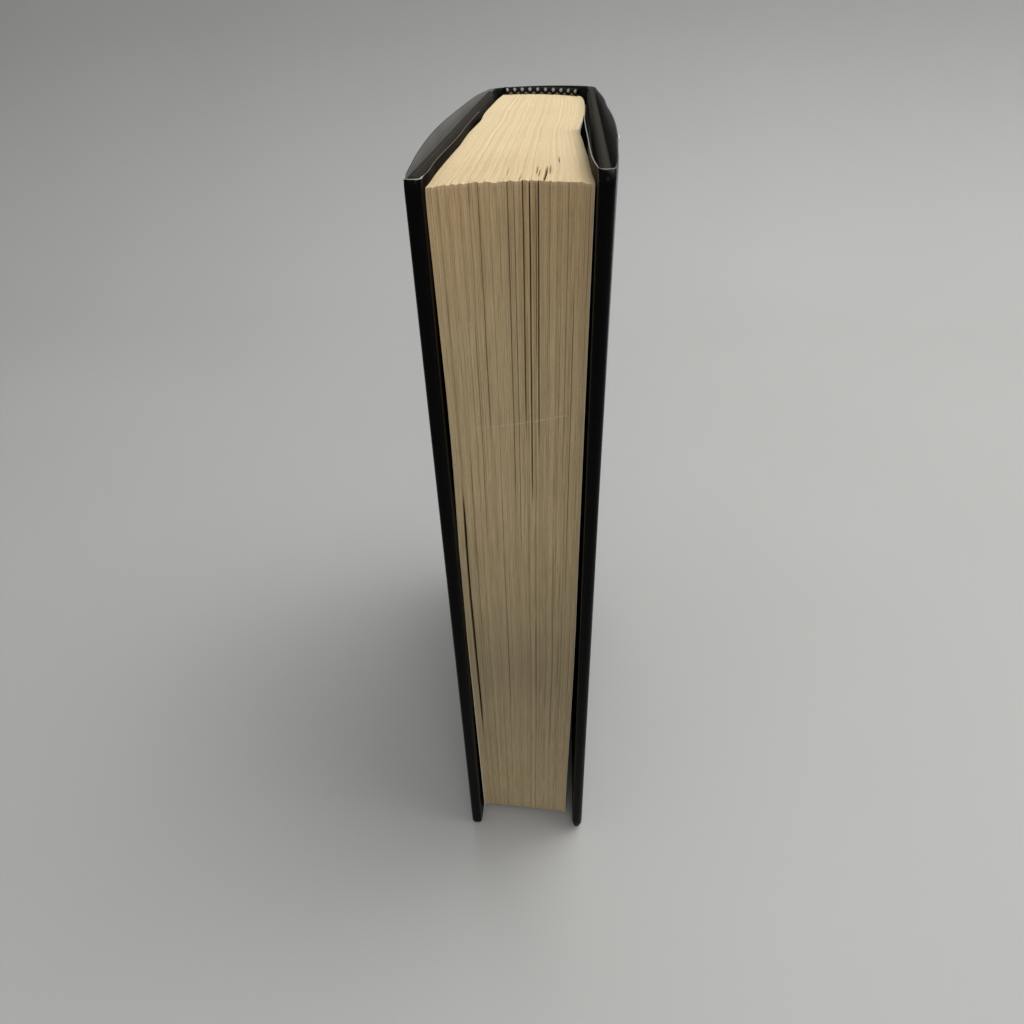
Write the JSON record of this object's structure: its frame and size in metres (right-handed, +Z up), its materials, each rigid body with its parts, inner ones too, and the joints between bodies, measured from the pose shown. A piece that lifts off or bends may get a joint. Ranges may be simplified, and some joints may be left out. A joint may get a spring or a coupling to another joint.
{
  "type": "hardback book",
  "caption": "Hardback book in a plain black paper jacket, standing on its tail, with front and back covers that open on cloth joints.",
  "frame": {"origin": "centre of the overall box at floor level, under the standing book", "axes": "+Z up from tail to head, -Y towards the fore-edge, +Y towards the spine, +X towards the back cover, -X towards the front cover"},
  "size_m": [0.0495, 0.1584, 0.2412],
  "materials": {
    "text_paper": "uncoated cream book paper, trimmed edges",
    "endpaper": "uncoated cream endpaper, slightly heavier than the pages",
    "band_thread": "black and white woven thread",
    "gauze": "open starched cotton gauze",
    "kraft_paper": "brown kraft paper",
    "grey_board": "grey binder's board",
    "cover_cloth": "dark brown-grey book cloth",
    "jacket_paper": "glossy black laminated jacket paper, white core worn bare along the head"
  },
  "bodies": {
    "text_block": {"pages": "text_paper", "front_flyleaf": "endpaper", "back_flyleaf": "endpaper", "headband": "band_thread", "tailband": "band_thread", "spine_gauze": "gauze", "spine_kraft_lining": "kraft_paper", "spine_inlay": "grey_board", "cloth_spine": "cover_cloth", "jacket_spine": "jacket_paper"},
    "front_cover": {"front_board": "grey_board", "front_cloth": "cover_cloth", "front_pastedown": "endpaper", "front_gauze_flange": "gauze", "front_jacket": "jacket_paper"},
    "back_cover": {"back_board": "grey_board", "back_cloth": "cover_cloth", "back_pastedown": "endpaper", "back_gauze_flange": "gauze", "back_jacket": "jacket_paper"}
  },
  "joints": [
    {"name": "front_cover_joint", "type": "hinge", "parent": "text_block", "child": "front_cover", "pos_m": [-0.02035, 0.06775, 0.1205], "axis": [0, 0, -1], "range_deg": [0, 178]},
    {"name": "back_cover_joint", "type": "hinge", "parent": "text_block", "child": "back_cover", "pos_m": [0.02035, 0.06774, 0.1205], "axis": [0, 0, 1], "range_deg": [0, 178]}
  ]
}
